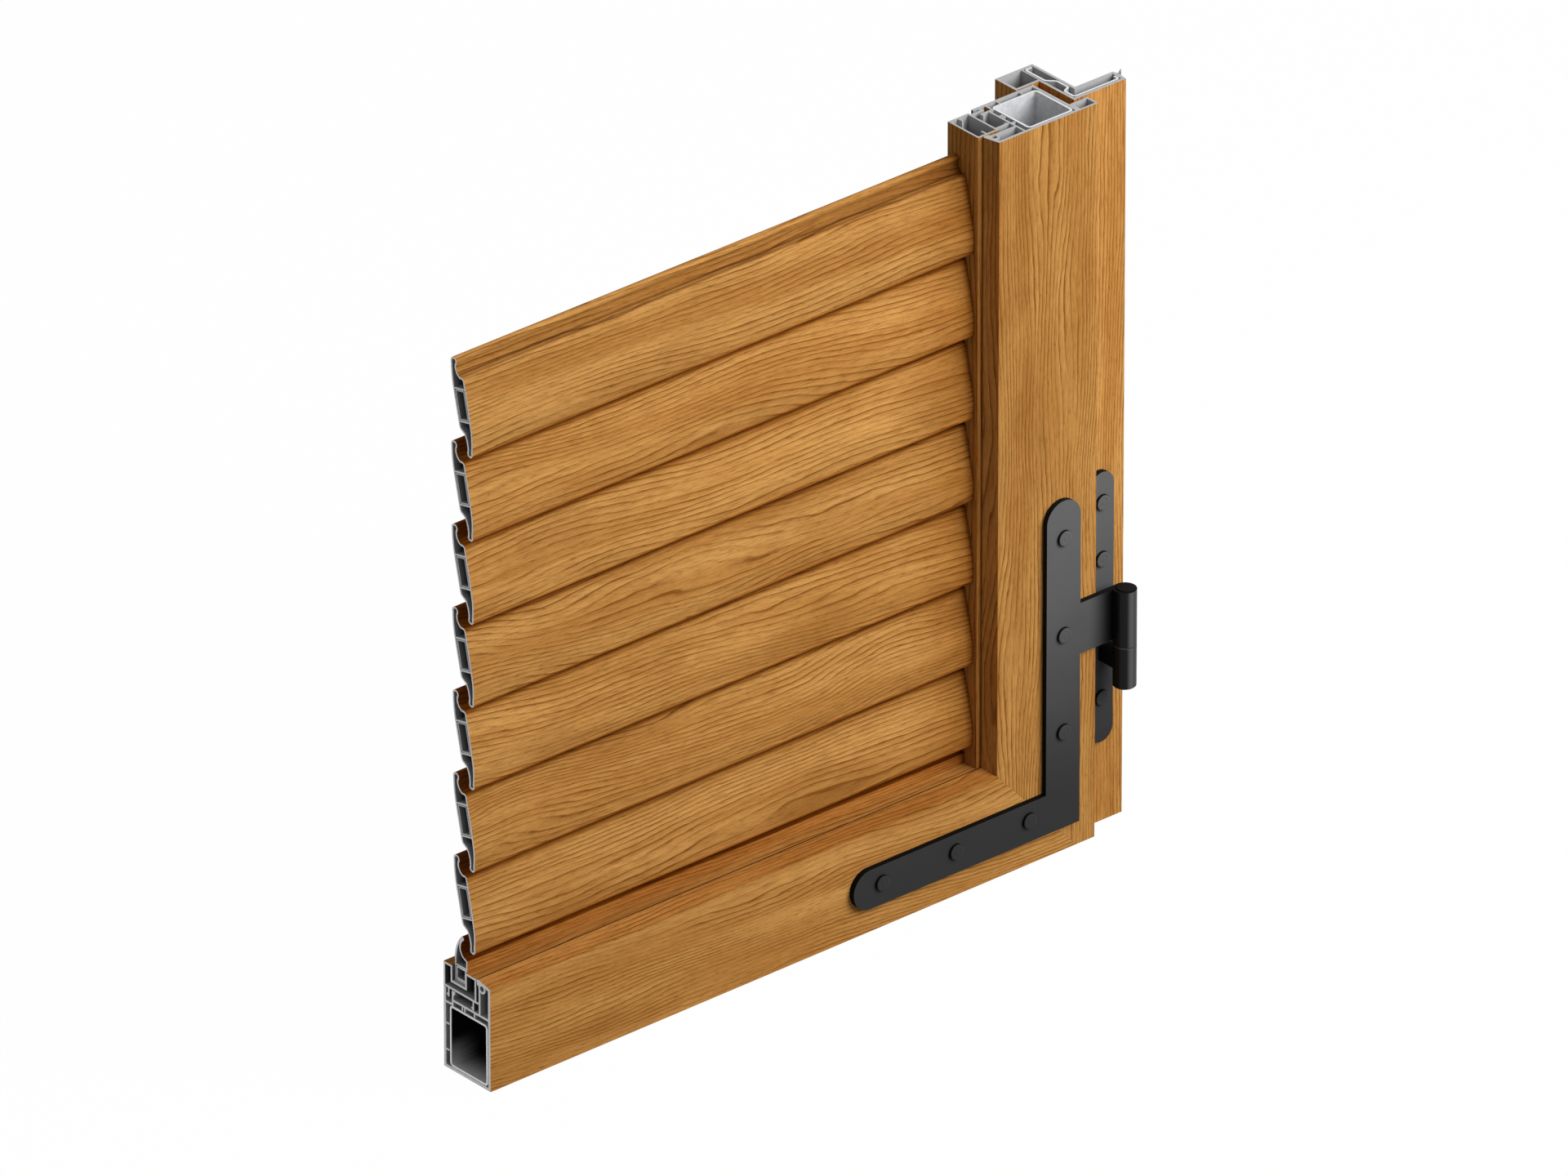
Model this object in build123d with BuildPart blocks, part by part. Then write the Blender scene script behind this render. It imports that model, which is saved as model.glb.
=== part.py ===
"""Louvred shutter, lower hinge-side corner, cut away to show the sections.

A foiled PVC leaf (stile, bottom rail, seven fixed louvres) hangs on a corner
strap hinge in front of its fixed frame jamb. Millimetres, +Z up. The origin
is at the middle of the sample's footprint, on the level of the bottom cut. X
runs along the leaf towards the jamb, and Y to the rear.
"""

from build123d import *
import math
import os

os.makedirs("parts", exist_ok=True)

# Leaf: overall sizes
sample_height = 503.0
rail_length = 401.0
leaf_depth = 43.0
stile_width = 64.0
rail_height = 70.0
face_wall = 2.0
web = 1.5
edge_round = 0.6

# Leaf section: the lip towards the opening and the groove behind it
lip_lean = 2.6
lip_depth = 11.0
lip_wall = 1.6
groove_depth = 21.0
groove_front = 10.6
hook_place = 34.0
hook_rise = 5.7
hook_barb = 1.6
back_step = 15.0
pocket_drop = 3.0
port_bore = 1.8
port_wall = 1.4
port_inset = 2.6
port_depth = 7.6

# Flange of the stile, which covers the gap to the frame
flange_reach = 14.5
flange_depth = 10.0
flange_wall = 1.5

# Steel tubes inside the stile and the rail
tube_depth = 35.0
tube_wall = 1.5
tube_corner = 3.0
tube_play = 0.4
tube_side_gap = 2.7
mitre_gap = 3.0
rib_places = (12.0, 30.0)
nub_places = (14.0, 23.0, 25.2)
nub_wall = 1.1

# Slat carrier clipped in the groove of the rail
rail_carrier_rise = 2.0
carrier_wall = 1.4
channel_front = 21.6
channel_back = 36.4
channel_floor = 9.6
clip_play = 0.3

# Slat carrier clipped in the groove of the stile
stile_carrier_rise = 5.6
stile_carrier_base = 10.8
lug_length = 4.0
lug_inset = 1.2

# Clip legs of both carriers
leg_wall = 1.2
front_leg = 15.6
back_leg = 38.3
leg_barb = 1.1

# Louvres
slat_pitch = 56.15
first_slat = 86.0
slat_wall = 1.2
slat_cut_inset = 2.0
slat_front = 16.2
slat_web = 1.0
insert_width = 8.3
insert_length = 19.4
insert_wall = 0.9
insert_corner = 0.8
insert_tilt = 12.4
insert_play = 0.3
insert_depth = 9.1
insert_level = 32.4

# Louvre outline as runs of points: depth behind its front, level above its drip
# edge. A run of three points is an arc.
slat_face_runs = [
    [(0, 3.6), (-0.4, 9.0), (0.7, 20.0)],
    [(0.7, 20.0), (3.6, 34.4), (6.8, 48.4)],
]
slat_shelf_runs = [
    [(6.8, 48.4), (7.6, 50.1), (9.2, 50.8)],
    [(9.2, 50.8), (11.0, 50.7)],
]
slat_hook_runs = [
    [(11.0, 50.7), (13.5, 53.0), (14.4, 57.6)],
    [(14.4, 57.6), (16.3, 62.0), (19.2, 58.6)],
]
slat_rear_runs = [
    [(19.2, 58.6), (18.6, 49.4), (16.6, 38.6)],
    [(16.6, 38.6), (11.8, 18.0)],
    [(11.8, 18.0), (10.9, 16.2)],
    [(10.9, 16.2), (7.0, 13.8)],
]
slat_drip_runs = [
    [(7.0, 13.8), (4.9, 9.2), (4.2, 3.4)],
    [(4.2, 3.4), (2.2, 0.0), (0, 3.6)],
]

# Starter louvre that stands in the rail carrier
starter_play = 0.3
starter_wall = 1.1
starter_tube = 8.6
starter_tube_wall = 0.9
starter_face_runs = [
    [(0, 9.0), (2.6, 9.9)],
    [(2.6, 9.9), (6.0, 14.6), (3.9, 21.4)],
    [(3.9, 21.4), (3.4, 23.6), (5.5, 23.6)],
]
starter_rear_run = [(5.5, 23.6), (9.7, 16.8), (11.4, 5.0)]
starter_chamber_runs = [
    [(1.1, 8.3), (3.2, 9.0)],
    [(3.2, 9.0), (7.1, 14.0), (6.3, 20.6)],
    [(6.3, 20.6), (8.8, 15.2), (10.3, 4.8)],
]

# Fixed frame jamb
frame_gap = 6.0
frame_front = 12.5
frame_flange = 41.5
frame_flange_depth = 12.0
frame_end_lean = 1.0
frame_depth = 50.8
frame_neck = 11.3
frame_rebate = 18.4
rebate_clearance = 1.0
frame_wall = 1.9
frame_web = 1.1
jamb_steel = 1.4
steel_clearance = 0.5
steel_round = 1.6
steel_lip = 4.0
steel_jog = 5.5
steel_waist = 2.5
gasket_reach = 5.2
gasket_drop = 4.6
gasket_root = 1.1
gasket_thickness = 1.8
gasket_place = 7.0
gasket_play = 0.1
gasket_tip = 0.4

# Hinge
barrel_radius = 7.35
axis_offset = 31.7
strap_thickness = 4.0
strap_width = 27.0
strap_edge_inset = 1.2
strap_bottom = 18.3
strap_height = 225.5
strap_length = 180.5
upper_barrel_bottom = 131.0
upper_barrel_length = 37.7
tab_rise = 3.0
lower_barrel_length = 28.0
washer_thickness = 0.8
washer_clearance = 0.1
pin_diameter = 8.0
pin_clearance = 0.05
pin_grip = 0.02
cap_diameter = 11.0
cap_thickness = 3.0
cap_rise = 0.8
cap_edge = 0.3
pin_end_gap = 0.5
pin_chamfer = 0.5
barrel_edge = 0.5
jamb_plate_width = 19.2
jamb_plate_bottom = 57.5
jamb_plate_length = 186.0
jamb_plate_shift = 5.0
arm_width = 12.0
arm_bottom = 13.0
arm_height = 9.5

# Screws
screw_head = 10.5
screw_head_rise = 2.1
screw_head_edge = 1.4
screw_head_flat = 5.6
screw_shank = 4.8
screw_play = 0.1
screw_length = 9.5
strap_top_pitch = 25.3
strap_screw_pitch = 66.7
strap_end_pitch = 22.2
strap_rail_pitch = 58.8
strap_row_rise = 1.7
jamb_screw_first = 31.1
jamb_screw_second = 95.6
jamb_screw_third = 39.0

# Places worked out from the sizes above
sample_width = (
    rail_length + stile_width + frame_gap + frame_flange + frame_end_lean + gasket_reach
)
sample_depth = 2 * barrel_radius + frame_front + frame_depth
cut_x = -sample_width / 2
leaf_y = 2 * barrel_radius - sample_depth / 2
stile_inner_x = cut_x + rail_length
stile_outer_x = stile_inner_x + stile_width
frame_face_x = stile_outer_x + frame_gap
rebate_front = leaf_depth + rebate_clearance
frame_back = frame_front + frame_depth
axis_x = stile_outer_x + axis_offset
axis_y = leaf_y - barrel_radius
upper_barrel_top = upper_barrel_bottom + upper_barrel_length
lower_barrel_top = upper_barrel_bottom - washer_thickness - washer_clearance
lower_barrel_bottom = lower_barrel_top - lower_barrel_length
strap_right = stile_outer_x - strap_edge_inset
strap_left = strap_right - strap_length
strap_top = strap_bottom + strap_height
strap_arm_x = strap_right - strap_width / 2
strap_arm_z = strap_bottom + strap_width / 2
strap_row_z = strap_arm_z + strap_row_rise
jamb_plate_x = axis_x - jamb_plate_shift
arm_x = axis_x - barrel_radius
jamb_plate_front = leaf_y + frame_front - strap_thickness
bore_radius = screw_shank / 2 + screw_play
stile_carrier_x = stile_inner_x - stile_carrier_rise
rail_carrier_top = rail_height + rail_carrier_rise
chamber_loss = face_wall + groove_depth + web + 2 * tube_play + tube_side_gap
stile_tube_width = stile_width - chamber_loss
rail_tube_height = rail_height - chamber_loss
slat_height = slat_hook_runs[-1][1][1]
slat_count = int((sample_height - first_slat - slat_height) / slat_pitch) + 1

# Section planes: local x is the depth, local y runs towards the opening
stile_plane = Plane(origin=(stile_outer_x, leaf_y, 0), x_dir=(0, 1, 0), z_dir=(0, 0, 1))
rail_plane = Plane(origin=(cut_x, leaf_y, 0), x_dir=(0, 1, 0), z_dir=(1, 0, 0))
stile_groove_plane = Plane(
    origin=(stile_inner_x, leaf_y, rail_carrier_top), x_dir=(0, 1, 0), z_dir=(0, 0, 1)
)
rail_groove_plane = Plane(
    origin=(cut_x, leaf_y, rail_height), x_dir=(0, 1, 0), z_dir=(1, 0, 0)
)
starter_plane = Plane(
    origin=(cut_x + slat_cut_inset, leaf_y, rail_height), x_dir=(0, 1, 0), z_dir=(1, 0, 0)
)
frame_plane = Plane(origin=(frame_face_x, leaf_y, 0), x_dir=(1, 0, 0), z_dir=(0, 0, 1))
leaf_front_plane = Plane.XZ.offset(-leaf_y)
jamb_front_plane = Plane.XZ.offset(-leaf_y - frame_front)

insert_seat = Location((slat_front + insert_depth, insert_level, 0), (0, 0, -insert_tilt))

# The mitre runs from the inner corner of the leaf to its outer corner
mitre_length = math.hypot(stile_width, rail_height)
mitre_normal = (rail_height / mitre_length, 0, stile_width / mitre_length)
mitre_plane = Plane(origin=(stile_outer_x, 0, 0), z_dir=mitre_normal)

strap_screw_places = [
    (strap_arm_x, strap_top - strap_top_pitch - number * strap_screw_pitch) for number in range(3)
] + [
    (strap_left + strap_end_pitch + number * strap_rail_pitch, strap_row_z) for number in range(3)
]
jamb_screw_levels = [
    jamb_plate_bottom + jamb_screw_first,
    jamb_plate_bottom + jamb_screw_first + jamb_screw_second,
    jamb_plate_bottom + jamb_screw_first + jamb_screw_second + jamb_screw_third,
]


def export_part(part):
    """Write one finished piece under its own label."""
    export_step(part, f"parts/{part.label}.step")


def box_sketch(x0, y0, x1, y1, mode=Mode.ADD):
    """A rectangle between two corners, in the sketch that is being built."""
    with Locations(((x0 + x1) / 2, (y0 + y1) / 2)):
        Rectangle(abs(x1 - x0), abs(y1 - y0), mode=mode)


def outline(points, mode=Mode.ADD):
    """A closed straight-sided outline, in the sketch that is being built."""
    with BuildLine() as border:
        Polyline(*points, close=True)
    make_face(border.edges(), mode=mode)


def sash_section(width, tube_size):
    """The foiled leaf profile: tube chamber, lip with a screw port, open groove."""
    floor = width - groove_depth
    back_end = width - back_step
    pocket = floor - pocket_drop
    tube_back = face_wall + tube_play + tube_depth + tube_play
    tube_side = face_wall + tube_play + tube_size + tube_play
    lip_edge = width - lip_wall
    with BuildSketch() as section:
        outline([
            (0, 0),
            (0, width),
            (lip_depth, width + lip_lean),
            (lip_depth + lip_wall, width + lip_lean - lip_wall / 2),
            (lip_depth + lip_wall - edge_round, lip_edge),
            (groove_front, lip_edge),
            (groove_front, floor),
            (hook_place + web, floor),
            (hook_place + web, pocket),
            (leaf_depth - face_wall, pocket),
            (leaf_depth - face_wall, back_end),
            (leaf_depth, back_end),
            (leaf_depth, 0),
        ])
        # chamber of the steel tube, with a step under the pocket
        outline([
            (face_wall, face_wall),
            (face_wall, floor - web),
            (hook_place, floor - web),
            (hook_place, pocket - web),
            (leaf_depth - face_wall, pocket - web),
            (leaf_depth - face_wall, face_wall),
        ], mode=Mode.SUBTRACT)
        # chamber behind the face, under the lip
        outline([
            (face_wall, floor),
            (face_wall, lip_edge),
            (groove_front - web, lip_edge + lip_lean / 2),
            (groove_front - web, floor),
        ], mode=Mode.SUBTRACT)
        # screw port on the lip
        with Locations((port_depth, width - port_inset)):
            Circle(port_bore + port_wall)
            Circle(port_bore, mode=Mode.SUBTRACT)
        # hook that holds the rear clip leg of the carrier
        outline([
            (hook_place, floor),
            (hook_place, floor + hook_rise - 2 * hook_barb),
            (hook_place - hook_barb, floor + hook_rise - hook_barb),
            (hook_place - hook_barb, floor + hook_rise),
            (hook_place + web, floor + hook_rise),
            (hook_place + web, floor),
        ])
        # ribs behind the tube and nubs beside it
        for place in rib_places:
            box_sketch(tube_back, place, leaf_depth - face_wall, place + nub_wall)
        for place in nub_places:
            box_sketch(place, tube_side, place + nub_wall, floor - web)
    return section.sketch


def flange_section():
    """Hollow flange that stands out from the stile over the frame."""
    inner = flange_reach - flange_wall
    with BuildSketch() as section:
        box_sketch(0, 0, flange_depth, -flange_reach)
        box_sketch(flange_wall, -flange_wall, flange_depth - flange_wall, -inner, mode=Mode.SUBTRACT)
    return section.sketch


def clip_leg(place, root, tip, side):
    """One clip leg of a carrier, from its web down to a barbed tip."""
    edge = place + side * (leg_wall / 2 + leg_barb)
    box_sketch(place - leg_wall / 2, tip, place + leg_wall / 2, root)
    outline([
        (place, tip),
        (edge, tip + leg_barb),
        (edge, tip + 2 * leg_barb),
        (place, tip + 2 * leg_barb),
    ])


def tube_section(size_x, size_y, wall, corner):
    """Rounded rectangular tube."""
    with BuildSketch() as section:
        RectangleRounded(size_x, size_y, corner)
        RectangleRounded(size_x - 2 * wall, size_y - 2 * wall, max(corner - wall, wall / 4), mode=Mode.SUBTRACT)
    return section.sketch


def draw_runs(runs, depth):
    """Arcs and lines through runs of points, in the line that is being built."""
    for run in runs:
        points = [(depth + across, level) for across, level in run]
        if len(points) == 3:
            ThreePointArc(*points)
        else:
            Line(*points)


def slat_outline():
    """Louvre outline: leaning front face, cove and hook on top, drip bulb below."""
    with BuildSketch() as section:
        with BuildLine():
            draw_runs(slat_face_runs, slat_front)
            draw_runs(slat_shelf_runs, slat_front)
            draw_runs(slat_hook_runs, slat_front)
            draw_runs(slat_rear_runs, slat_front)
            draw_runs(slat_drip_runs, slat_front)
        make_face()
    return section.sketch


def rail_carrier_section():
    """Slat carrier of the rail: hollow insert with a channel on top and two legs."""
    front = lip_depth + lip_wall + clip_play
    base = clip_play - back_step
    top = rail_carrier_rise
    under = carrier_wall - channel_floor
    with BuildSketch() as section:
        outline([
            (front, base),
            (front, top),
            (channel_front + carrier_wall, top),
            (channel_front + carrier_wall, under),
            (channel_back - carrier_wall, under),
            (channel_back - carrier_wall, top),
            (leaf_depth, top),
            (leaf_depth, base),
        ])
        # chamber around the channel
        outline([
            (front + carrier_wall, base + carrier_wall),
            (front + carrier_wall, top - carrier_wall),
            (channel_front, top - carrier_wall),
            (channel_front, -channel_floor),
            (channel_back, -channel_floor),
            (channel_back, top - carrier_wall),
            (leaf_depth - carrier_wall, top - carrier_wall),
            (leaf_depth - carrier_wall, base + carrier_wall),
        ], mode=Mode.SUBTRACT)
        # edge of the base that reaches the rear of the lip
        box_sketch(groove_front + clip_play, base, front, base + carrier_wall)
        clip_leg(front_leg, base, clip_play - groove_depth, 1)
        clip_leg(back_leg, base, clip_play - groove_depth, 1)
    return section.sketch


def stile_carrier_section():
    """Slat carrier of the stile: hollow box with lugs and two legs."""
    front = lip_depth + lip_wall + clip_play
    back = leaf_depth - face_wall - clip_play
    base = -stile_carrier_base
    lug = -lug_inset - leg_wall
    with BuildSketch() as section:
        box_sketch(front, base, back, stile_carrier_rise)
        box_sketch(
            front + carrier_wall,
            base + carrier_wall,
            back - carrier_wall,
            stile_carrier_rise - carrier_wall,
            mode=Mode.SUBTRACT,
        )
        box_sketch(front, -lug_inset, front + carrier_wall + lug_length, lug)
        box_sketch(back - carrier_wall - lug_length, -lug_inset, back, lug)
        clip_leg(front_leg, base, clip_play - groove_depth, 1)
        clip_leg(back_leg, base, clip_play - groove_depth, 1)
    return section.sketch


def starter_section():
    """Starter louvre: a square foot in the channel and a hooked upright on it."""
    front = channel_front + carrier_wall + starter_play
    back = channel_back - carrier_wall - starter_play
    foot = starter_play + carrier_wall - channel_floor
    inner_top = foot + starter_wall + starter_tube + 2 * starter_play
    upper = inner_top + starter_wall
    chamber_start = (front + starter_chamber_runs[0][0][0], starter_chamber_runs[0][0][1])
    chamber_end = (front + starter_chamber_runs[-1][-1][0], starter_chamber_runs[-1][-1][1])
    with BuildSketch() as section:
        with BuildLine():
            Line((front, foot), (front, starter_face_runs[0][0][1]))
            draw_runs(starter_face_runs, front)
            draw_runs([starter_rear_run], front)
            Polyline((front + starter_rear_run[-1][0], starter_rear_run[-1][1]), (back, foot), (front, foot))
        make_face()
        # chamber of the upright and chamber of the tube in the foot
        with BuildLine() as chamber:
            Line((front + starter_wall, upper), chamber_start)
            draw_runs(starter_chamber_runs, front)
            Polyline(chamber_end, (back - starter_wall, upper), (front + starter_wall, upper))
        make_face(chamber.edges(), mode=Mode.SUBTRACT)
        box_sketch(front + starter_wall, foot + starter_wall, back - starter_wall, inner_top, mode=Mode.SUBTRACT)
    return section.sketch


def slat_section():
    """Hollow louvre with two double webs that hold the steel insert."""
    shape = slat_outline()
    with BuildSketch() as webs:
        with Locations(insert_seat):
            for side in (-1, 1):
                with Locations((0, side * (insert_length / 2 + insert_play + slat_web / 2))):
                    Rectangle(3 * insert_width, slat_web)
        add(shape, mode=Mode.INTERSECT)
    with BuildSketch() as section:
        add(shape)
        offset(amount=-slat_wall, mode=Mode.SUBTRACT)
        add(webs.sketch)
    return section.sketch


def frame_section():
    """Fixed jamb profile: flange towards the room side, neck, rebate and rear box."""
    end = frame_flange
    flange_back = frame_front + frame_flange_depth
    tip = frame_front + gasket_place
    wall = frame_wall
    with BuildSketch() as section:
        outline([
            (0, frame_front),
            (end, frame_front),
            (end + frame_end_lean, tip),
            (end, flange_back),
            (frame_neck, flange_back),
            (frame_neck, frame_back),
            (-frame_rebate, frame_back),
            (-frame_rebate, rebate_front),
            (0, rebate_front),
        ])
        # chamber of the steel, from the flange down to the rear box
        outline([
            (wall, frame_front + wall),
            (end - wall, frame_front + wall),
            (end + frame_end_lean - wall - gasket_root, tip),
            (end - wall, flange_back - wall),
            (frame_neck - wall, flange_back - wall),
            (frame_neck - wall, frame_back - wall),
            (wall, frame_back - wall),
        ], mode=Mode.SUBTRACT)
        # chamber behind the rebate
        box_sketch(wall - frame_rebate, rebate_front + wall, wall - frame_web, frame_back - wall, mode=Mode.SUBTRACT)
        # groove of the gasket
        root = end + frame_end_lean - gasket_root
        box_sketch(root, tip, root + 2 * gasket_root, tip + gasket_thickness, mode=Mode.SUBTRACT)
    return section.sketch


def jamb_steel_section():
    """Folded steel strip that follows the chamber of the jamb."""
    inset = frame_wall + steel_clearance + jamb_steel / 2
    left = inset
    right = frame_neck - inset
    front = frame_front + inset
    back = frame_back - inset
    waist = frame_front + frame_flange_depth
    end = frame_flange - inset
    with BuildSketch() as section:
        with BuildLine() as path:
            FilletPolyline(
                (right, back),
                (left, back),
                (left, rebate_front - jamb_steel),
                (right, rebate_front - jamb_steel - steel_jog),
                (right, waist + steel_waist),
                (left, waist),
                (left, front),
                (end, front),
                (end, front + steel_lip),
                radius=steel_round,
            )
        trace(path.edges(), line_width=jamb_steel)
    return section.sketch


def screw_section():
    """Half section of a low pan-head screw, head at negative y."""
    with BuildSketch() as section:
        outline([
            (0, -screw_head_rise),
            (screw_head_flat / 2, -screw_head_rise),
            (screw_head / 2, -screw_head_edge),
            (screw_head / 2, 0),
            (screw_shank / 2, 0),
            (screw_shank / 2, screw_length - screw_shank / 2),
            (0, screw_length),
        ])
    return section.sketch


# Leaf stile, with the flange, cut at the mitre
with BuildPart() as leaf_stile:
    with BuildSketch(stile_plane):
        add(sash_section(stile_width, stile_tube_width))
        add(flange_section())
    extrude(amount=sample_height)
    split(bisect_by=mitre_plane, keep=Keep.TOP)
    with BuildSketch(leaf_front_plane):
        with Locations(*strap_screw_places):
            Circle(bore_radius)
    extrude(amount=-face_wall - tube_play, mode=Mode.SUBTRACT)
leaf_stile.part.label = "leaf_stile"
export_part(leaf_stile.part)

# Bottom rail, cut at the same mitre
with BuildPart() as leaf_bottom_rail:
    with BuildSketch(rail_plane):
        add(sash_section(rail_height, rail_tube_height))
    extrude(amount=rail_length + stile_width)
    split(bisect_by=mitre_plane, keep=Keep.BOTTOM)
    with BuildSketch(leaf_front_plane):
        with Locations(*strap_screw_places):
            Circle(bore_radius)
    extrude(amount=-face_wall - tube_play, mode=Mode.SUBTRACT)
leaf_bottom_rail.part.label = "leaf_bottom_rail"
export_part(leaf_bottom_rail.part)

# Steel tube of the stile, mitred short of the weld
tube_depth_centre = face_wall + tube_play + tube_depth / 2
with BuildPart() as stile_steel_tube:
    with BuildSketch(stile_plane):
        with Locations((tube_depth_centre, face_wall + tube_play + stile_tube_width / 2)):
            add(tube_section(tube_depth, stile_tube_width, tube_wall, tube_corner))
    extrude(amount=sample_height)
    split(bisect_by=mitre_plane.offset(mitre_gap), keep=Keep.TOP)
    with BuildSketch(leaf_front_plane):
        with Locations(*strap_screw_places):
            Circle(bore_radius)
    extrude(amount=-tube_depth_centre, mode=Mode.SUBTRACT)
stile_steel_tube.part.label = "stile_steel_tube"
export_part(stile_steel_tube.part)

# Steel tube of the rail
with BuildPart() as rail_steel_tube:
    with BuildSketch(rail_plane):
        with Locations((tube_depth_centre, face_wall + tube_play + rail_tube_height / 2)):
            add(tube_section(tube_depth, rail_tube_height, tube_wall, tube_corner))
    extrude(amount=rail_length + stile_width)
    split(bisect_by=mitre_plane.offset(-mitre_gap), keep=Keep.BOTTOM)
    with BuildSketch(leaf_front_plane):
        with Locations(*strap_screw_places):
            Circle(bore_radius)
    extrude(amount=-tube_depth_centre, mode=Mode.SUBTRACT)
rail_steel_tube.part.label = "rail_steel_tube"
export_part(rail_steel_tube.part)

# Slat carrier of the rail, which runs on under the carrier of the stile
with BuildPart() as rail_slat_carrier:
    with BuildSketch(rail_groove_plane):
        add(rail_carrier_section())
    extrude(amount=rail_length + stile_carrier_base)
rail_slat_carrier.part.label = "rail_slat_carrier"
export_part(rail_slat_carrier.part)

# Slat carrier of the stile, standing on the one of the rail
with BuildPart() as stile_slat_carrier:
    with BuildSketch(stile_groove_plane):
        add(stile_carrier_section())
    extrude(amount=sample_height - rail_carrier_top)
stile_slat_carrier.part.label = "stile_slat_carrier"
export_part(stile_slat_carrier.part)

# Starter louvre and the square tube in its foot
slat_length = rail_length - stile_carrier_rise - slat_cut_inset
with BuildPart() as starter_slat:
    with BuildSketch(starter_plane):
        add(starter_section())
    extrude(amount=slat_length - starter_play)
starter_slat.part.label = "starter_slat"
export_part(starter_slat.part)

starter_tube_centre = (
    (channel_front + channel_back) / 2,
    2 * starter_play + carrier_wall + starter_wall + starter_tube / 2 - channel_floor,
)
with BuildPart() as starter_slat_tube:
    with BuildSketch(starter_plane):
        with Locations(starter_tube_centre):
            add(tube_section(starter_tube, starter_tube, starter_tube_wall, insert_corner))
    extrude(amount=slat_length - starter_play)
starter_slat_tube.part.label = "starter_slat_tube"
export_part(starter_slat_tube.part)

# The louvres, each with its steel insert
for number in range(slat_count):
    level = first_slat + (slat_count - 1 - number) * slat_pitch
    plane = Plane(
        origin=(cut_x + slat_cut_inset, leaf_y, level), x_dir=(0, 1, 0), z_dir=(1, 0, 0)
    )
    with BuildPart() as slat:
        with BuildSketch(plane):
            add(slat_section())
        extrude(amount=slat_length)
    slat.part.label = f"slat_{number + 1}"
    export_part(slat.part)
    with BuildPart() as slat_insert:
        with BuildSketch(plane):
            with Locations(insert_seat):
                add(tube_section(insert_width, insert_length, insert_wall, insert_corner))
        extrude(amount=slat_length)
    slat_insert.part.label = f"slat_insert_{number + 1}"
    export_part(slat_insert.part)

# Fixed jamb, its folded steel and its gasket
with BuildPart() as frame_jamb:
    with BuildSketch(frame_plane):
        add(frame_section())
    extrude(amount=sample_height)
    with BuildSketch(jamb_front_plane):
        with Locations(*[(jamb_plate_x, level) for level in jamb_screw_levels]):
            Circle(bore_radius)
    extrude(amount=-frame_wall - steel_clearance / 2, mode=Mode.SUBTRACT)
frame_jamb.part.label = "frame_jamb"
export_part(frame_jamb.part)

with BuildPart() as frame_reinforcement:
    with BuildSketch(frame_plane):
        add(jamb_steel_section())
    extrude(amount=sample_height)
    with BuildSketch(jamb_front_plane):
        with Locations(*[(jamb_plate_x, level) for level in jamb_screw_levels]):
            Circle(bore_radius)
    extrude(amount=-frame_wall - steel_clearance - 2 * jamb_steel, mode=Mode.SUBTRACT)
frame_reinforcement.part.label = "frame_reinforcement"
export_part(frame_reinforcement.part)

gasket_face = frame_flange + frame_end_lean
gasket_front = frame_front + gasket_place + gasket_play
gasket_rear = frame_front + gasket_place + gasket_thickness - gasket_play
with BuildPart() as frame_gasket:
    with BuildSketch(frame_plane):
        outline([
            (gasket_face - gasket_root + gasket_play, gasket_front),
            (gasket_face, gasket_front),
            (gasket_face + gasket_reach, gasket_front + gasket_drop - gasket_play),
            (gasket_face + gasket_reach - gasket_tip, gasket_front + gasket_drop),
            (gasket_face, gasket_rear),
            (gasket_face - gasket_root + gasket_play, gasket_rear),
        ])
    extrude(amount=sample_height)
frame_gasket.part.label = "frame_gasket"
export_part(frame_gasket.part)

# Corner strap with its tab and the upper barrel, which turns with the leaf
with BuildPart() as corner_strap_hinge:
    with BuildSketch(leaf_front_plane):
        radius = strap_width / 2
        with BuildLine():
            Line((strap_right, strap_bottom), (strap_right, strap_top - radius))
            ThreePointArc(
                (strap_right, strap_top - radius),
                (strap_arm_x, strap_top),
                (strap_right - strap_width, strap_top - radius),
            )
            Polyline(
                (strap_right - strap_width, strap_top - radius),
                (strap_right - strap_width, strap_bottom + strap_width),
                (strap_left + radius, strap_bottom + strap_width),
            )
            ThreePointArc(
                (strap_left + radius, strap_bottom + strap_width),
                (strap_left, strap_arm_z),
                (strap_left + radius, strap_bottom),
            )
            Line((strap_left + radius, strap_bottom), (strap_right, strap_bottom))
        make_face()
        box_sketch(strap_arm_x, upper_barrel_bottom + tab_rise, axis_x, upper_barrel_top)
    extrude(amount=strap_thickness)
    with BuildSketch(Plane.XY.offset(upper_barrel_bottom)):
        with Locations((axis_x, axis_y)):
            Circle(barrel_radius)
    extrude(amount=upper_barrel_length)
    rim = corner_strap_hinge.edges().filter_by(GeomType.CIRCLE).sort_by(Axis.Z)[-1]
    chamfer(rim, length=barrel_edge)
    with BuildSketch(Plane.XY.offset(upper_barrel_bottom)):
        with Locations((axis_x, axis_y)):
            Circle(pin_diameter / 2 + pin_clearance)
    extrude(amount=upper_barrel_length, mode=Mode.SUBTRACT)
    with BuildSketch(Plane.XY.offset(upper_barrel_top - cap_thickness)):
        with Locations((axis_x, axis_y)):
            Circle(cap_diameter / 2)
    extrude(amount=cap_thickness, mode=Mode.SUBTRACT)
    with BuildSketch(leaf_front_plane):
        with Locations(*strap_screw_places):
            Circle(bore_radius)
    extrude(amount=strap_thickness, mode=Mode.SUBTRACT)
corner_strap_hinge.part.label = "corner_strap_hinge"
export_part(corner_strap_hinge.part)

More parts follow.
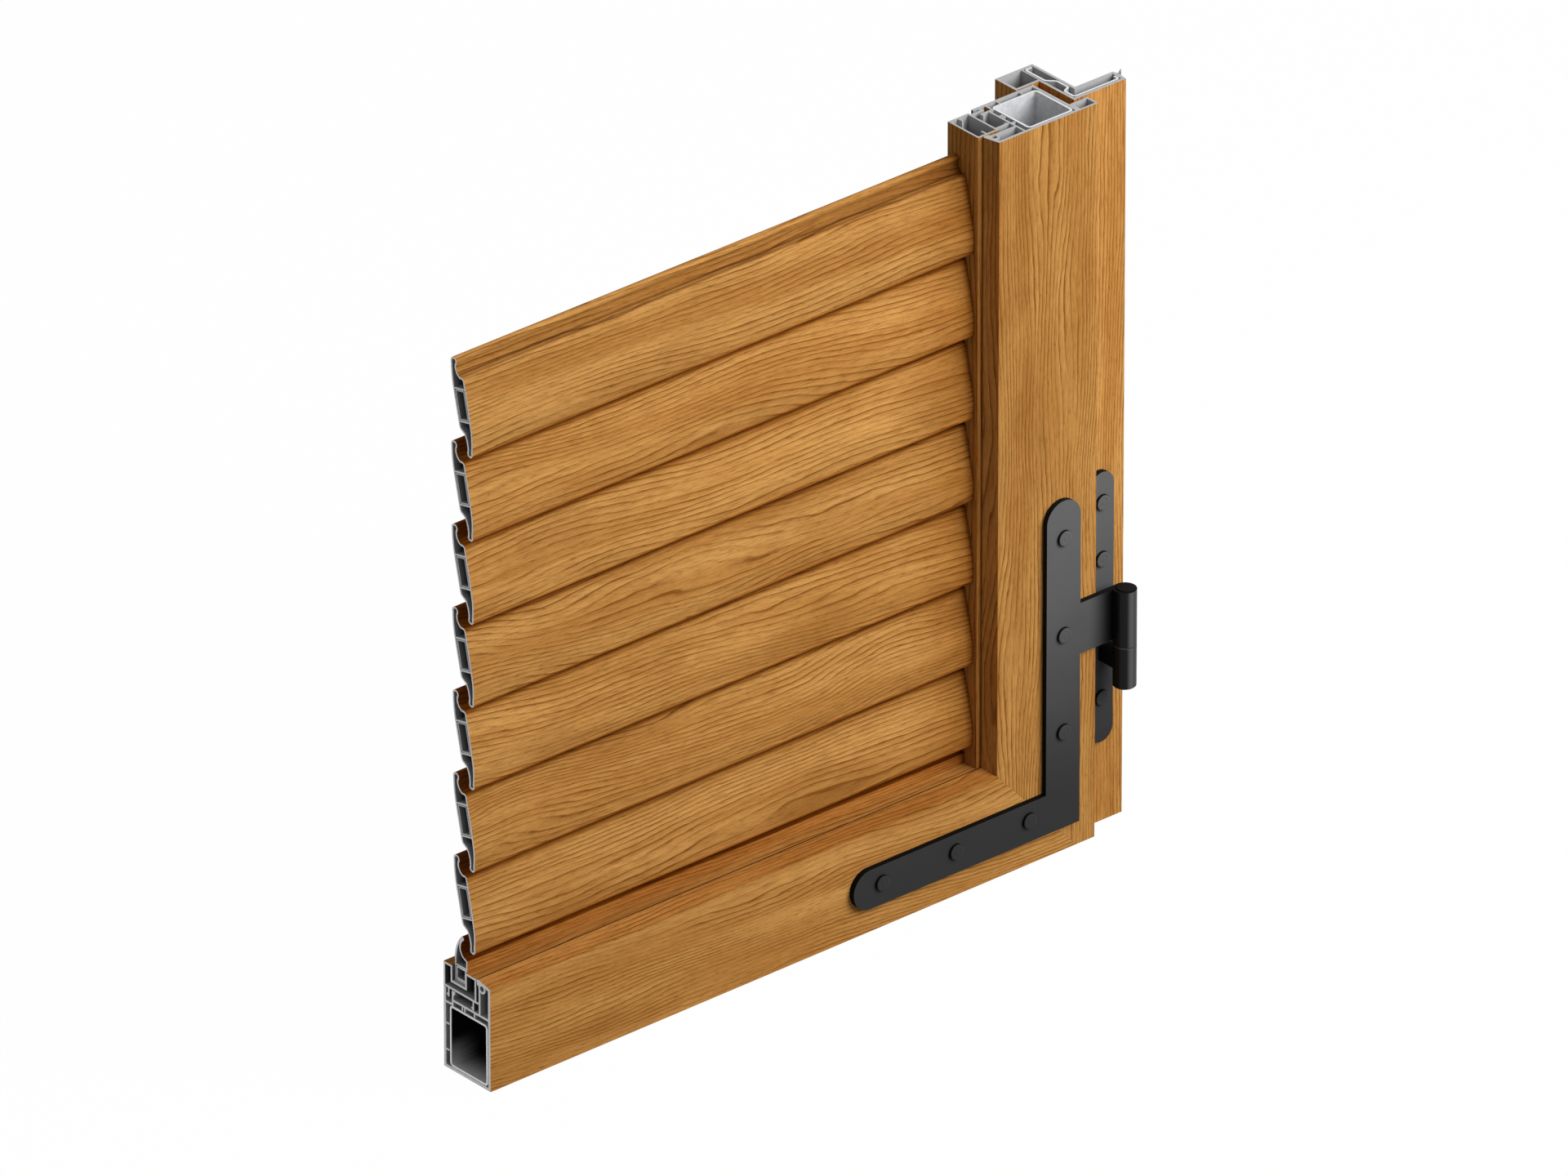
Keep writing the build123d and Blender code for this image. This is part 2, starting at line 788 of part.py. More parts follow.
# Cap that closes the upper barrel and stands a little above its rim
with BuildPart() as knuckle_cap:
    with BuildSketch(Plane.XY.offset(upper_barrel_top - cap_thickness)):
        with Locations((axis_x, axis_y)):
            Circle(cap_diameter / 2 - pin_clearance)
    extrude(amount=cap_thickness + cap_rise)
    chamfer(knuckle_cap.faces().sort_by(Axis.Z)[-1].edges(), length=cap_edge)
knuckle_cap.part.label = "knuckle_cap"
export_part(knuckle_cap.part)

# Plate on the jamb with its arm and the lower barrel
with BuildPart() as jamb_hinge_plate:
    with BuildSketch(jamb_front_plane):
        with Locations((jamb_plate_x, jamb_plate_bottom + jamb_plate_length / 2)):
            SlotOverall(jamb_plate_length, jamb_plate_width, rotation=90)
    extrude(amount=strap_thickness)
    with BuildSketch(Plane.XY.offset(lower_barrel_bottom + arm_bottom)):
        box_sketch(arm_x, axis_y, arm_x + arm_width, jamb_plate_front)
    extrude(amount=arm_height)
    with BuildSketch(Plane.XY.offset(lower_barrel_bottom)):
        with Locations((axis_x, axis_y)):
            Circle(barrel_radius)
    extrude(amount=lower_barrel_length)
    rims = jamb_hinge_plate.edges().filter_by(GeomType.CIRCLE).filter_by(Plane.XY).group_by(Axis.Z)
    chamfer(rims[0] + rims[-1], length=barrel_edge)
    with BuildSketch(Plane.XY.offset(lower_barrel_bottom)):
        with Locations((axis_x, axis_y)):
            Circle(pin_diameter / 2 + pin_grip)
    extrude(amount=lower_barrel_length, mode=Mode.SUBTRACT)
    with BuildSketch(jamb_front_plane):
        with Locations(*[(jamb_plate_x, level) for level in jamb_screw_levels]):
            Circle(bore_radius)
    extrude(amount=strap_thickness, mode=Mode.SUBTRACT)
jamb_hinge_plate.part.label = "jamb_hinge_plate"
export_part(jamb_hinge_plate.part)

# Hinge pin, fixed in the lower barrel, and the washer between the barrels
with BuildPart() as hinge_pin:
    with BuildSketch(Plane.XY.offset(lower_barrel_bottom)):
        with Locations((axis_x, axis_y)):
            Circle(pin_diameter / 2)
    extrude(amount=upper_barrel_top - cap_thickness - pin_end_gap - lower_barrel_bottom)
    chamfer(hinge_pin.edges().group_by(Axis.Z)[-1], length=pin_chamfer)
hinge_pin.part.label = "hinge_pin"
export_part(hinge_pin.part)

with BuildPart() as hinge_washer:
    with BuildSketch(Plane.XY.offset(lower_barrel_top)):
        with Locations((axis_x, axis_y)):
            Circle(barrel_radius)
            Circle(pin_diameter / 2 + pin_grip, mode=Mode.SUBTRACT)
    extrude(amount=washer_thickness)
hinge_washer.part.label = "hinge_washer"
export_part(hinge_washer.part)

# Screws of the strap and of the jamb plate
screw_places = [
    (f"strap_screw_{number}", (x, leaf_y - strap_thickness, z))
    for number, (x, z) in enumerate(strap_screw_places, start=1)
] + [
    (f"jamb_screw_{number}", (jamb_plate_x, jamb_plate_front, level))
    for number, level in enumerate(jamb_screw_levels, start=1)
]
for name, seat in screw_places:
    with BuildPart() as screw:
        with BuildSketch(Plane(origin=seat, x_dir=(1, 0, 0), z_dir=(0, 0, 1))):
            add(screw_section())
        revolve(axis=Axis(seat, (0, 1, 0)))
    screw.part.label = name
    export_part(screw.part)
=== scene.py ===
import math

import bmesh
import bpy
from mathutils import Matrix, Vector
from mathutils.bvhtree import BVHTree


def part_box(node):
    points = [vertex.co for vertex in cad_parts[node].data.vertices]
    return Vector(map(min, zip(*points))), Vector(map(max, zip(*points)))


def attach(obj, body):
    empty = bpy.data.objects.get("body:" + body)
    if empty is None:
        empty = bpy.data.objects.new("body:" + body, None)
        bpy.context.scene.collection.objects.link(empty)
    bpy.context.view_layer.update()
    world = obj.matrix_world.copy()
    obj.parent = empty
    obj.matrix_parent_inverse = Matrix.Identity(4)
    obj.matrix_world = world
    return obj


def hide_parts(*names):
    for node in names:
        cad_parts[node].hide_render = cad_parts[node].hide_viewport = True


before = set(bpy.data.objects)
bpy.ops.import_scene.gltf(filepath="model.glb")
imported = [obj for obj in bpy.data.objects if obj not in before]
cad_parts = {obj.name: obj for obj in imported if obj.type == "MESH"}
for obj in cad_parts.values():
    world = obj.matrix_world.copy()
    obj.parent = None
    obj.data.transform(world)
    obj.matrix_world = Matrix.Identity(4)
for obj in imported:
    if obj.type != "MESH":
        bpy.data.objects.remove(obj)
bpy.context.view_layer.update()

# Leaf stile and bottom rail
# Hollow grey PVC profiles, extruded, wrapped in a golden oak foil and welded at
# the mitre. The sample is sawn off at the top and at the left, so the section
# shows with its bare grey walls, and the weld leaves a fine seam in the foil.


class Wire:
    """One value in a material; Python's operators on it add the Math nodes."""

    def __init__(self, finish, socket):
        self.finish = finish
        self.socket = socket

    def __add__(self, other):
        return self.finish.maths("ADD", self, other)

    def __radd__(self, other):
        return self.finish.maths("ADD", other, self)

    def __sub__(self, other):
        return self.finish.maths("SUBTRACT", self, other)

    def __rsub__(self, other):
        return self.finish.maths("SUBTRACT", other, self)

    def __mul__(self, other):
        return self.finish.maths("MULTIPLY", self, other)

    def __rmul__(self, other):
        return self.finish.maths("MULTIPLY", other, self)

    def __truediv__(self, other):
        return self.finish.maths("DIVIDE", self, other)

    def __rtruediv__(self, other):
        return self.finish.maths("DIVIDE", other, self)

    def __pow__(self, other):
        return self.finish.maths("POWER", self, other)

    def __rpow__(self, other):
        return self.finish.maths("POWER", other, self)


class Finish:
    """A material (or world) in the making: one method adds every kind of node."""

    def __init__(self, name, kind="materials"):
        self.owner = getattr(bpy.data, kind).new(name)
        self.owner.use_nodes = True
        self.tree = self.owner.node_tree
        self.tree.nodes.clear()

    def node(self, kind, settings=None, values=None, output=0):
        """Add a node: its settings first, then a value or a link for each socket."""
        made = self.tree.nodes.new(kind)
        for name, value in (settings or {}).items():
            if name == "stops":
                ramp = made.color_ramp
                while len(ramp.elements) < len(value):
                    ramp.elements.new(0.5)
                for stop, (place, colour) in zip(ramp.elements, value):
                    stop.position = place
                    stop.color = colour
            else:
                setattr(made, name, value)
        for name, value in (values or {}).items():
            if isinstance(value, Wire):
                self.tree.links.new(value.socket, made.inputs[name])
            else:
                made.inputs[name].default_value = value
        return Wire(self, made.outputs[output] if made.outputs else None)

    def maths(self, operation, *values):
        return self.node("ShaderNodeMath", {"operation": operation}, dict(enumerate(values)))

    def step(self, value, low, high):
        """A smooth rise from 0 at low to 1 at high."""
        return self.node(
            "ShaderNodeMapRange",
            {"interpolation_type": "SMOOTHSTEP"},
            {"Value": value, "From Min": low, "From Max": high},
        )

    def blend(self, factor, first, second, kind="MIX"):
        """One colour over another."""
        return self.node(
            "ShaderNodeMix", {"data_type": "RGBA", "blend_type": kind}, {0: factor, 6: first, 7: second}, 2
        )

    def noise(self, place, scale, detail=2.0, roughness=0.5):
        return self.node(
            "ShaderNodeTexNoise",
            values={"Vector": place, "Scale": scale, "Detail": detail, "Roughness": roughness},
        )

    def place(self, turn=(0, 0, 0), shift=(0, 0, 0)):
        """Object coordinates in millimetres, turned and moved."""
        here = self.node("ShaderNodeTexCoord", output="Object")
        return self.node(
            "ShaderNodeMapping",
            values={"Vector": here, "Scale": (1000, 1000, 1000), "Rotation": turn, "Location": shift},
        )

    def axis(self, place, number):
        """One coordinate of a place: 0, 1 or 2 for X, Y or Z."""
        return self.node("ShaderNodeSeparateXYZ", values={"Vector": place}, output=number)

    def stretch(self, place, factors):
        return self.node("ShaderNodeVectorMath", {"operation": "MULTIPLY"}, {0: place, 1: factors})

    def bump(self, height, strength, distance):
        return self.node(
            "ShaderNodeBump", values={"Height": height, "Strength": strength, "Distance": distance}
        )

    def close(self, **sockets):
        """Finish with a Principled surface; the socket names are in plain words."""
        values = {name.replace("_", " "): value for name, value in sockets.items()}
        surface = self.node("ShaderNodeBsdfPrincipled", values=values)
        self.node("ShaderNodeOutputMaterial", values={"Surface": surface})
        return self.owner


def shade(red, green, blue):
    """A colour from its screen values, 0 to 255."""
    linear = [((v / 255 + 0.055) / 1.055) ** 2.4 for v in (red, green, blue)]
    return (*linear, 1.0)


honey = shade(219, 162, 90)
amber = shade(198, 139, 71)
ring_brown = shade(132, 78, 24)
pore_brown = shade(92, 48, 8)
# how strongly each printed layer covers the one below it
patch_ink = 0.3
ring_ink = 0.95
fibre_ink = 0.52
pore_ink = 0.45
seam_ink = 0.12

# the weld runs from the leaf's outer lower corner to its inner corner
seam_half = 0.0003
rail_low, rail_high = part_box("leaf_bottom_rail")
outer_corner = Vector((rail_high.x, rail_low.y, rail_low.z))
weld_normal = Vector((0.738, 0, 0.675))


def oak_foil(
    name,
    upright=False,
    lean=0.0,
    shift=(0, 0, 0),
    pitch=3.4,
    figure=1.0,
    tone=(1, 1, 1),
    welded=False,
    painted_shade=None,
):
    """Golden oak foil: printed rings, fibres and pores, with the grain along the profile.

    Pitch is the distance of the rings in mm, figure the strength of their waves.
    """
    finish = Finish(name)
    turn = (0, math.pi / 2, 0) if upright else (0, math.radians(lean), 0)
    place = finish.place(turn, shift)
    # the rings are lines across the grain, bent by waves of these heights in mm
    slow_wave, quick_wave, rough_wave = 56, 8, 1.1
    across = finish.axis(place, 2)
    depth = finish.axis(place, 1)
    slow = finish.noise(finish.stretch(place, (0.24, 1, 1)), 0.016, 1.0)
    quick = finish.noise(finish.stretch(place, (0.22, 1, 1)), 0.06, 2.0)
    rough = finish.noise(finish.stretch(place, (0.12, 1, 1)), 0.5, 2.0)
    waves = (slow - 0.5) * slow_wave + (quick - 0.5) * quick_wave
    bent = across + depth * 0.6 + waves * figure + (rough - 0.5) * rough_wave
    phase = finish.maths("FRACT", bent / pitch)
    broad = finish.step(phase, 0.1, 0.8) * (1 - finish.step(phase, 0.84, 0.98))
    core = finish.step(phase, 0.64, 0.82) * (1 - finish.step(phase, 0.85, 0.95))
    # some rings fade out along the profile
    faint = finish.noise(finish.stretch(place, (0.1, 1, 1)), 0.11, 2.0)
    seen = finish.step(faint, 0.3, 0.6)
    ring = (broad * 0.36 + core * 0.6) * (0.25 + 0.75 * seen)
    # fibres and pores are short streaks
    fibre = finish.noise(finish.stretch(place, (0.06, 1, 1)), 1.4, 3.0, 0.75)
    streak = finish.noise(finish.stretch(place, (0.1, 1, 1)), 1.6, 1.0)
    pore = finish.step(streak, 0.6, 0.7) * (0.25 + 0.75 * broad)
    # the ground is printed in two tones, with darker patches
    cloud = finish.noise(finish.stretch(place, (0.2, 1, 1)), 0.04, 3.0, 0.6)
    board = finish.noise(finish.stretch(place, (0.03, 1, 1)), 0.07, 2.0)
    patch = finish.noise(finish.stretch(place, (0.3, 1, 1)), 0.022, 3.0, 0.6)
    colour = finish.blend(finish.step(cloud * 0.5 + board * 0.5, 0.38, 0.62), honey, amber)
    colour = finish.blend(finish.step(patch, 0.5, 0.72) * patch_ink, colour, ring_brown)
    colour = finish.blend(ring * ring_ink, colour, ring_brown)
    colour = finish.blend(finish.step(fibre, 0.4, 0.72) * fibre_ink, colour, ring_brown)
    colour = finish.blend(pore * pore_ink, colour, pore_brown)
    colour = finish.blend(1.0, colour, (*tone, 1), "MULTIPLY")
    # painted shade laid over the foil's colour, where one is given
    if painted_shade:
        colour = painted_shade(finish, colour)
    height = 1 - ring * 0.5 - pore * 0.6 - fibre * 0.35
    if welded:
        here = finish.node("ShaderNodeTexCoord", output="Object")
        beyond = finish.node(
            "ShaderNodeVectorMath", {"operation": "DOT_PRODUCT"}, {0: here, 1: weld_normal}, "Value"
        )
        away = finish.maths("ABSOLUTE", beyond - outer_corner.dot(weld_normal))
        gap = 1 - finish.step(away, seam_half * 0.4, seam_half)
        colour = finish.blend(gap * seam_ink, colour, pore_brown)
        height = height - gap * 1.2
    return finish.close(
        Base_Color=colour,
        Roughness=0.55 + fibre * 0.15 - ring * 0.05,
        Normal=finish.bump(height, 0.25, 0.00005),
        Specular_IOR_Level=0.03,
    )


def bare_pvc(name, tone, saw=(1, 1, 1), shine=0.2, sheen=0.0):
    """Sawn grey PVC with fine parallel marks of the blade."""
    finish = Finish(name)
    place = finish.place()
    marks = finish.noise(finish.stretch(place, saw), 2.2, 3.0, 0.6)
    cloud = finish.noise(place, 0.08, 2.0)
    light = shade(tone + 7, tone + 7, tone + 6)
    dark = shade(tone - 15, tone - 14, tone - 14)
    colour = finish.blend(finish.step(marks, 0.3, 0.75), light, dark)
    colour = finish.blend(cloud * 0.3, colour, dark)
    return finish.close(
        Base_Color=colour,
        Metallic=sheen,
        Roughness=0.5 + marks * 0.15,
        Normal=finish.bump(marks, 0.3, 0.00005),
        Specular_IOR_Level=shine,
    )


def chamber_wall(name, axis, cut, near, far, depth):
    """Grey wall inside a hollow profile with painted shade: light by the cut, darker deeper in (depth in
    mm).
    """
    finish = Finish(name)
    place = finish.place()
    lines = finish.noise(finish.stretch(place, (0.15, 1, 0.15)), 2.0, 2.0)
    inward = finish.maths("ABSOLUTE", finish.axis(place, axis) - cut * 1000) + (lines - 0.5) * depth * 0.2
    colour = finish.blend(
        finish.step(inward, 0, depth), shade(near, near, near + 1), shade(far, far, far + 1)
    )
    return finish.close(
        Base_Color=colour,
        Roughness=0.5 + lines * 0.15,
        Normal=finish.bump(lines, 0.1, 0.00005),
        Specular_IOR_Level=0.1,
    )


left_cut = rail_low.x
top_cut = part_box("leaf_stile")[1].z
# the sawn ends are a lighter copy of the sawn PVC than the top: painted light on the unlit left ends
pvc_end_painted_light = bare_pvc("sawn_pvc_end", 247, saw=(0.1, 1, 0.12), shine=1.0, sheen=0.3)
pvc_top = bare_pvc("sawn_pvc_top", 200, saw=(0.12, 1, 0.1))
pvc_left_chamber = chamber_wall("pvc_left_chamber", 0, left_cut, 190, 30, 11)
pvc_top_chamber = chamber_wall("pvc_top_chamber", 2, top_cut, 180, 70, 34)
# a wall that looks at another one closer than this is inside the profile
enclosed_depth = 0.024


def is_hole(points, screws):
    """True if all the points are on the wall of one screw's bore."""
    for low, high in screws:
        if all(low.x < p.x < high.x and low.z < p.z < high.z for p in points):
            return True
    return False


def solid_tree(nodes):
    """The walls of several CAD nodes, to cast rays at."""
    points = []
    faces = []
    for node in nodes:
        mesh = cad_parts[node].data
        start = len(points)
        points.extend(vertex.co for vertex in mesh.vertices)
        faces.extend(tuple(start + i for i in face.vertices) for face in mesh.polygons)
    return BVHTree.FromPolygons(points, faces)


def is_enclosed(mesh, face, around):
    """True if every part of a face looks straight at a wall close by."""
    for i in face.vertices:
        start = face.center.lerp(mesh.vertices[i].co, 0.9) + face.normal * 1e-5
        if around.ray_cast(start, face.normal, enclosed_depth)[0] is None:
            return False
    return True


def face_kinds(node, axis, screws=(), neighbours=()):
    """Each face of a profile is a sawn end, its foiled skin or a bare grey wall."""
    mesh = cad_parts[node].data
    bores = [tuple(Vector(corner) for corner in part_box(screw)) for screw in screws]
    leader = {}

    def find(point):
        while leader.setdefault(point, point) != point:
            point = leader[point]
        return point

    kinds = {}
    walls = []
    for face in mesh.polygons:
        points = [mesh.vertices[i].co for i in face.vertices]
        if abs(face.normal.dot(axis)) > 0.5:
            kinds[face.index] = "end"
        elif is_hole(points, bores):
            kinds[face.index] = "chamber"
        else:
            keys = [tuple(round(c * 1e5) for c in point) for point in points]
            walls.append((face, keys))
            for other in keys[1:]:
                leader[find(other)] = find(keys[0])
    # the chain of walls that reaches furthest round the section is the skin
    reach = {}
    for face, keys in walls:
        top = find(keys[0])
        corners = [mesh.vertices[i].co for i in face.vertices]
        low, high = reach.get(top, (corners[0], corners[0]))
        low = Vector(map(min, low, *corners))
        high = Vector(map(max, high, *corners))
        reach[top] = (low, high)

    def spread(span):
        across = span[1] - span[0]
        return (across - axis * across.dot(axis)).length

    skin = max(reach, key=lambda top: spread(reach[top]))
    around = solid_tree([node, *neighbours]) if neighbours else None
    for face, keys in walls:
        kind = "skin" if find(keys[0]) == skin else "chamber"
        if kind == "skin" and around and is_enclosed(mesh, face, around):
            kind = "chamber"
        kinds[face.index] = kind
    return kinds


def dress(node, axis, skin, end, chamber, **kinds_args):
    """Give a profile its three finishes, face by face."""
    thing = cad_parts[node]
    thing.data.materials.clear()
    order = {"skin": 0, "end": 1, "chamber": 2}
    for material in (skin, end, chamber):
        thing.data.materials.append(material)
    for index, kind in face_kinds(node, axis, **kinds_args).items():
        thing.data.polygons[index].material_index = order[kind]


along_rail = Vector((1, 0, 0))
along_stile = Vector((0, 0, 1))
strap_screws = [f"strap_screw_{number}" for number in range(1, 7)]
# the rail's top edge turns over towards the louvres at this height
lip_turn = 0.0675
# painted shade: the tint that darkens and reddens the rail's turned-over top
lip_shade_tint = (0.84, 0.73, 0.62, 1)


def lip_painted_shade(finish, colour):
    """Painted shade on the rail's turned-over top: the foil there is made redder and darker."""
    dirty = finish.step(finish.axis(finish.place(), 2) - lip_turn * 1000, 0, 2)
    return finish.blend(dirty, colour, finish.blend(1.0, colour, lip_shade_tint, "MULTIPLY"))


stile_foil = oak_foil(
    "oak_foil_stile",
    upright=True,
    shift=(40, 0, 12),
    pitch=3.0,
    figure=0.8,
    tone=(0.92, 0.91, 0.89),
    welded=True,
)
dress(
    "leaf_stile",
    along_stile,
    stile_foil,
    pvc_top,
    pvc_top_chamber,
    screws=strap_screws,
    neighbours=["stile_slat_carrier", "rail_slat_carrier", "leaf_bottom_rail"],
)
rail_foil = oak_foil("oak_foil_rail", lean=-2, shift=(310, 0, 95), welded=True, painted_shade=lip_painted_shade)
dress(
    "leaf_bottom_rail",
    along_rail,
    rail_foil,
    pvc_end_painted_light,
    pvc_left_chamber,
    screws=strap_screws,
    neighbours=["rail_slat_carrier", "leaf_stile"],
)

# Steel tubes and slat inserts
# Roll-formed galvanised sheet, pushed into the hollow profiles before they are
# welded. The zinc is dull and faintly spangled, and the sawn ends are bright.


def galvanised(name, tone, metal):
    """Zinc-coated sheet with soft spangle and drawing lines."""
    finish = Finish(name)
    place = finish.place()
    spangle = finish.node("ShaderNodeTexVoronoi", values={"Vector": place, "Scale": 0.35}, output="Color")
    grey = finish.node("ShaderNodeSeparateColor", values={"Color": spangle})
    lines = finish.noise(finish.stretch(place, (0.04, 1, 0.2)), 2.0, 2.0)
    light = shade(tone + 12, tone + 12, tone + 14)
    dark = shade(tone - 14, tone - 13, tone - 10)
    colour = finish.blend(grey * 0.6 + lines * 0.4, dark, light)
    return finish.close(
        Base_Color=colour,
        Metallic=metal,
        Roughness=0.4 + grey * 0.1 + lines * 0.08,
        Normal=finish.bump(lines, 0.15, 0.00004),
    )


def sawn_steel(name, tone, metal):
    """Bright saw cut through sheet steel."""
    finish = Finish(name)
    place = finish.place()
    marks = finish.noise(finish.stretch(place, (0.2, 1, 0.2)), 4.0, 2.0)
    colour = finish.blend(marks, shade(tone, tone, tone), shade(tone - 30, tone - 30, tone - 29))
    return finish.close(
        Base_Color=colour,
        Metallic=metal,
        Roughness=0.35 + marks * 0.2,
        Normal=finish.bump(marks, 0.2, 0.00004),
    )


def painted_tube_bore(name, low, high):
    """Inside of the rail's tube with painted light and shade: light grey by the cut and on its floor, black
    further in.
    """
    finish = Finish(name)
    place = finish.place()
    lines = finish.noise(finish.stretch(place, (0.04, 1, 0.2)), 2.0, 2.0)
    inward = finish.step(finish.axis(place, 0) - low.x * 1000 + (lines - 0.5) * 4, -6, 24)
    half_height = (high.z - low.z) * 500
    upward = finish.step(finish.axis(place, 2) - low.z * 1000 + (lines - 0.5) * 3, 0, half_height)
    dark = 1 - (1 - inward) * (1 - upward)
    colour = finish.blend(dark, shade(252, 252, 255), shade(12, 12, 14))
    return finish.close(Base_Color=colour, Roughness=0.5 + lines * 0.1, Specular_IOR_Level=0.1)


zinc_outside = galvanised("galvanised_outside", 190, metal=0.7)
# a lighter, non-metallic copy of the zinc for the stile tube's inside: painted light
zinc_painted_light = galvanised("galvanised_bright", 212, metal=0.0)
insert_bore = chamber_wall("insert_bore", 0, left_cut, 165, 30, 12)
steel_cut = sawn_steel("sawn_steel", 250, metal=0.5)
insert_cut = sawn_steel("sawn_insert", 210, metal=0.3)
rail_bore = painted_tube_bore("rail_tube_bore", *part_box("rail_steel_tube"))
dress("stile_steel_tube", along_stile, zinc_outside, steel_cut, zinc_painted_light, screws=strap_screws)
dress("rail_steel_tube", along_rail, zinc_outside, steel_cut, rail_bore, screws=strap_screws)
dress("starter_slat_tube", along_rail, zinc_outside, steel_cut, insert_bore)
inserts = [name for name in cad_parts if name.startswith("slat_insert_")]
for name in inserts:
    dress(name, along_rail, zinc_outside, insert_cut, insert_bore)

# Slat carriers
# Hollow PVC strips in the same foil, clipped into the groove of the rail and of
# the stile. The starter louvre stands in the channel of the lower one.

# the carrier's foil is darker and redder, as painted shade on its faces in the groove
carrier_foil = oak_foil(
    "oak_foil_rail_carrier", lean=-1, shift=(90, 0, 33), pitch=2.6, figure=0.3, tone=(0.86, 0.76, 0.64)
)
dress(
    "rail_slat_carrier",
    along_rail,
    carrier_foil,
    pvc_end_painted_light,
    pvc_left_chamber,
    neighbours=["leaf_bottom_rail", "starter_slat"],
)
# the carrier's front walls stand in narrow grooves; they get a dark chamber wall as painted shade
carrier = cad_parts["rail_slat_carrier"].data
carrier.materials.append(chamber_wall("joint_wall", 0, left_cut, 92, 24, 6))
for face in carrier.polygons:
    if face.normal.y < -0.9:
        face.material_index = len(carrier.materials) - 1
# the upright carrier's foil is darker and redder, as painted shade on its faces which look to the left
upright_foil = oak_foil(
    "oak_foil_stile_carrier", upright=True, shift=(160, 0, 51), pitch=2.8, figure=0.3, tone=(0.95, 0.9, 0.8)
)
dress(
    "stile_slat_carrier",
    along_stile,
    upright_foil,
    pvc_top,
    pvc_top_chamber,
    neighbours=["leaf_stile"],
)

# Starter louvre
# Short foiled PVC upright under the lowest louvre, on a square foot with a steel
# tube inside; it closes the gap above the rail.

unshaded = (1, 1, 1, 1)
# the painted shade's colours are set out over this depth below the top of a louvre, in mm
painted_shade_depth = 20


def joint_painted_shade(top, nose, end, covered, fade=0.8):
    """Painted shade under the next louvre's nose, on the nose and by the stile; the top louvre gets a
    painted highlight on its edge.
    """

    def add(finish, colour):
        here = finish.place()
        down = finish.axis(here, 2)
        # painted shadow of the next louvre's nose, dark at the joint and fading downwards
        if covered:
            stops = [
                (0.55, (0.42, 0.25, 0.07, 1)),
                (0.59, (0.48, 0.31, 0.12, 1)),
                (0.59 + (fade - 0.59) * 0.4, (0.86, 0.8, 0.68, 1)),
                (fade, unshaded),
            ]
        else:
            # painted highlight on the top edge, painted shade on the cove and a dark painted shadow line at
            # its foot
            stops = [
                (0.06, (1.1, 1.1, 1.1, 1)),
                (0.12, (0.8, 0.75, 0.68, 1)),
                (0.48, (0.68, 0.6, 0.48, 1)),
                (0.53, (0.3, 0.22, 0.12, 1)),
                (0.58, unshaded),
            ]
        reach = (top * 1000 - down) / painted_shade_depth
        painted_band = finish.node("ShaderNodeValToRGB", {"stops": stops}, {0: reach})
        nose_painted_shade = finish.blend(finish.step(down - nose * 1000, 0, 6), (0.74, 0.6, 0.4, 1), unshaded)
        # painted shadow of the stile on the louvre's right end: a dark strip right by it and a broad soft
        # falloff
        to_end = end * 1000 - finish.axis(here, 0)
        close = finish.blend(finish.step(to_end, -1, 7), (0.6, 0.46, 0.26, 1), unshaded)
        broad = finish.blend(finish.step(to_end, 0, 60), (0.72, 0.62, 0.47, 1), unshaded)
        for layer in (painted_band, nose_painted_shade, close, broad):
            colour = finish.blend(1.0, colour, layer, "MULTIPLY")
        return colour

    return add


starter_low, starter_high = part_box("starter_slat")
# the starter's flat face begins at this height, just under the lowest louvre's nose
starter_face_top = 0.079
shoulder_drop = 0.0116
starter_foil = oak_foil(
    "oak_foil_starter",
    lean=-2,
    shift=(210, 0, 71),
    pitch=2.6,
    figure=0.4,
    tone=(0.84, 0.72, 0.58),
    painted_shade=joint_painted_shade(
        starter_face_top + shoulder_drop, starter_low.z, starter_high.x, covered=True, fade=0.64
    ),
)
dress(
    "starter_slat", along_rail, starter_foil, pvc_end_painted_light, pvc_left_chamber, neighbours=["rail_slat_carrier"]
)

# Louvres
# Hollow foiled PVC slats with a steel insert, all alike in shape. Each was cut
# from another length of the foil, so each has its own figure and slope of grain.

slats = sorted(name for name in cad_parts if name.startswith("slat_") and name not in inserts)
slat_leans = (-3, -4, -2, -3, -5, -2, -1)
slat_tones = (0.95, 1.03, 1.02, 0.96, 1.0, 0.97, 0.96)
slat_figures = (0.8, 0.9, 0.7, 1.3, 0.9, 1.4, 0.8)
for number, name in enumerate(slats):
    low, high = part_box(name)
    foil = oak_foil(
        f"oak_foil_{name}",
        lean=slat_leans[number],
        shift=(137 * number, 0, 29 * number),
        pitch=4.0,
        figure=slat_figures[number],
        tone=(slat_tones[number],) * 3,
        painted_shade=joint_painted_shade(high.z, low.z, high.x, covered=number > 0),
    )
    dress(name, along_rail, foil, pvc_end_painted_light, pvc_left_chamber)

# Fixed frame jamb
# Foiled hollow PVC jamb with a folded steel strip in its chamber and a lip
# gasket pushed into the groove at the edge of its flange.

jamb_screws = [f"jamb_screw_{number}" for number in range(1, 4)]
frame_foil = oak_foil(
    "oak_foil_frame", upright=True, shift=(500, 0, 140), pitch=2.5, figure=0.4, tone=(1.07, 1.07, 1.07)
)
dress("frame_jamb", along_stile, frame_foil, pvc_top, pvc_top_chamber, screws=jamb_screws)
zinc_inside = galvanised("galvanised_inside", 205, metal=0.15)
dress("frame_reinforcement", along_stile, zinc_outside, steel_cut, zinc_inside)


